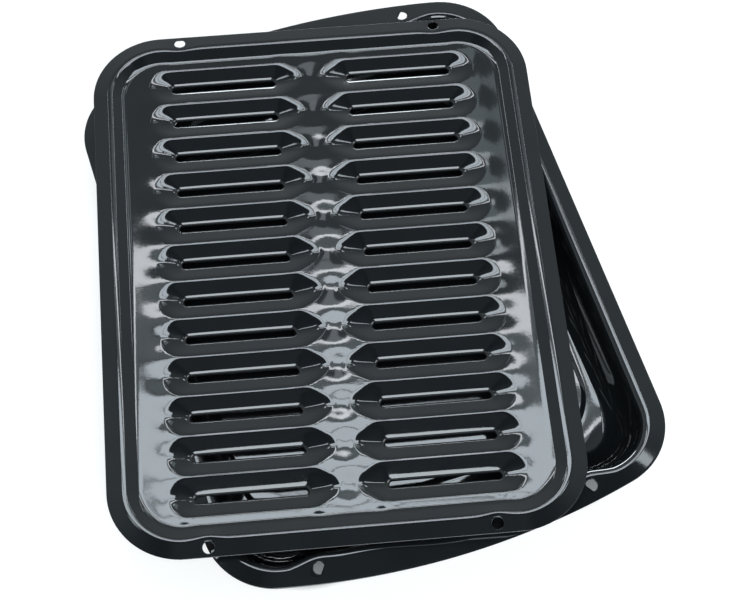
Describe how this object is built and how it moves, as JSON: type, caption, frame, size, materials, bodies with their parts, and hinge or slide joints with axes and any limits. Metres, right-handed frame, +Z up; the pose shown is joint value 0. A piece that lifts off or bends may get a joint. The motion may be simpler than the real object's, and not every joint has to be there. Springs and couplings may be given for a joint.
{
  "type": "broiler pan",
  "caption": "Shallow rectangular broiler pan with a bowed rim, carrying a slotted grill that lies across it at a slight turn, both in glossy black enamelled steel.",
  "frame": {"origin": "on the table under the centre of the whole set's bounding box", "axes": "+X across the pan, +Y along it, +Z up; the grill is turned 12.6 degrees clockwise on the pan, seen from above"},
  "size_m": [0.3856, 0.4576, 0.0503],
  "materials": {
    "enamel": "glossy black porcelain enamel"
  },
  "bodies": {
    "root": {"drip_pan": "enamel", "slotted_grill": "enamel"}
  },
  "joints": []
}
